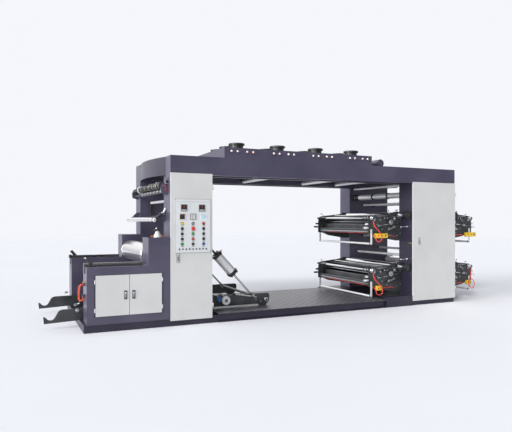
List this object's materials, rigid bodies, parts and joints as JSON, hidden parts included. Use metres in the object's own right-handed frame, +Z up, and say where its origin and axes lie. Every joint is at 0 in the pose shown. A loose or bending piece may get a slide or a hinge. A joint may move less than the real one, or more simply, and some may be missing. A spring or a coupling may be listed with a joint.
{
  "type": "flexographic printing press",
  "caption": "Flexographic printing press with stacked inking decks, overhead drying bridge, control cabinet and rewinding unit on a long walkway base",
  "frame": {"origin": "centre of the base on the floor plane: midway along the base and midway between its near and far sides", "axes": "+X along the press from the winder to the print unit, +Y from the operator side to the drive side, +Z up"},
  "size_m": [7.495, 2.198, 2.56],
  "materials": {
    "painted_frame": "hammered semi-gloss",
    "door_paint": "satin",
    "walkway_steel": "checker plate",
    "dark_paint": "semi-gloss",
    "chrome_roller": "polished",
    "rubber_roller": "ground",
    "stainless_tray": "brushed",
    "collar_grey": "semi-gloss",
    "knob_plastic": "gloss",
    "cylinder_aluminium": "anodised",
    "pendant_yellow": "gloss",
    "hose_polyurethane": "gloss",
    "rail_grey": "satin"
  },
  "bodies": {
    "frame": {"air_cylinders": "cylinder_aluminium", "bridge_beams": "painted_frame", "bridge_covers": "painted_frame", "bridge_idlers": "chrome_roller", "control_cabinet": "painted_frame", "damper_knobs": "knob_plastic", "dancer": "chrome_roller", "deck_grips": "chrome_roller", "deck_ink_trays": "stainless_tray", "deck_inking_rollers": "rubber_roller", "deck_lead_rollers": "chrome_roller", "deck_pendants": "pendant_yellow", "drum_bearings": "dark_paint", "drying_hood": "painted_frame", "exhaust_collars": "collar_grey", "far_left_frame": "painted_frame", "far_right_frame": "painted_frame", "far_winder_frame": "painted_frame", "gear_cabinet": "painted_frame", "hood_end_blower": "dark_paint", "impression_cylinders": "chrome_roller", "left_canopy": "painted_frame", "left_lower_deck_frame": "dark_paint", "left_lower_deck_hose": "hose_polyurethane", "left_plinth": "painted_frame", "left_upper_deck_frame": "dark_paint", "left_upper_deck_hose": "hose_polyurethane", "lever_beams": "dark_paint", "near_winder_frame": "painted_frame", "nip_rubber_roller": "rubber_roller", "nip_steel_roller": "chrome_roller", "reel_levers": "dark_paint", "reel_rails": "rail_grey", "right_lower_deck_frame": "dark_paint", "right_lower_deck_hose": "hose_polyurethane", "right_plinth": "painted_frame", "right_upper_deck_frame": "dark_paint", "roller_brackets": "dark_paint", "side_crank": "chrome_roller", "side_lay_drive": "chrome_roller", "spiral_hose": "hose_polyurethane", "tension_regulator": "door_paint", "walkway_frame": "painted_frame", "walkway_plate": "walkway_steel", "web_guide_rollers": "chrome_roller"},
    "control_door": {"control_door": "door_paint", "control_panel": "door_paint", "panel_controls": "knob_plastic"},
    "gear_door": {"gear_door": "door_paint"},
    "left_winder_door": {"winder_door_left": "door_paint"},
    "right_winder_door": {"winder_door_right": "door_paint"},
    "winding_drum": {"winding_drum": "chrome_roller"},
    "lift_arms": {"lift_arms": "dark_paint"},
    "lay_on_roller": {"lay_on_roller": "chrome_roller"},
    "left_lower_cylinder": {"left_lower_deck_plate_cylinder": "chrome_roller"},
    "left_upper_cylinder": {"left_upper_deck_plate_cylinder": "chrome_roller"},
    "right_lower_cylinder": {"right_lower_deck_plate_cylinder": "chrome_roller"},
    "right_upper_cylinder": {"right_upper_deck_plate_cylinder": "chrome_roller"}
  },
  "joints": [
    {"name": "control_door_hinge", "type": "hinge", "parent": "frame", "child": "control_door", "pos_m": [-1.397, -1.083, 1.077], "axis": [0, 0, 1], "range_deg": [0, 110]},
    {"name": "gear_door_hinge", "type": "hinge", "parent": "frame", "child": "gear_door", "pos_m": [3.13, -1.083, 1.077], "axis": [0, 0, 1], "range_deg": [0, 110]},
    {"name": "left_winder_door_hinge", "type": "hinge", "parent": "frame", "child": "left_winder_door", "pos_m": [-2.987, -1.079, 0.466], "axis": [0, 0, -1], "range_deg": [0, 110]},
    {"name": "right_winder_door_hinge", "type": "hinge", "parent": "frame", "child": "right_winder_door", "pos_m": [-2.113, -1.079, 0.466], "axis": [0, 0, 1], "range_deg": [0, 110]},
    {"name": "drum_rotation", "type": "hinge", "parent": "frame", "child": "winding_drum", "pos_m": [-2.165, 0, 0.95], "axis": [0, 1, 0], "continuous": true},
    {"name": "left_lower_cylinder_rotation", "type": "hinge", "parent": "frame", "child": "left_lower_cylinder", "pos_m": [2.11, 0, 0.64], "axis": [0, 1, 0], "continuous": true},
    {"name": "left_upper_cylinder_rotation", "type": "hinge", "parent": "frame", "child": "left_upper_cylinder", "pos_m": [2.11, 0, 1.52], "axis": [0, 1, 0], "continuous": true},
    {"name": "right_lower_cylinder_rotation", "type": "hinge", "parent": "frame", "child": "right_lower_cylinder", "pos_m": [3.188, 0, 0.64], "axis": [0, 1, 0], "continuous": true},
    {"name": "right_upper_cylinder_rotation", "type": "hinge", "parent": "frame", "child": "right_upper_cylinder", "pos_m": [3.188, 0, 1.52], "axis": [0, 1, 0], "continuous": true},
    {"name": "lift_arm_pivot", "type": "hinge", "parent": "frame", "child": "lift_arms", "pos_m": [-2.08, 0, 0.2], "axis": [0, 1, 0], "range_deg": [0, 30]},
    {"name": "lay_on_pivot", "type": "hinge", "parent": "frame", "child": "lay_on_roller", "pos_m": [-2.03, 0, 1.53], "axis": [0, 1, 0], "range_deg": [0, 25]}
  ]
}
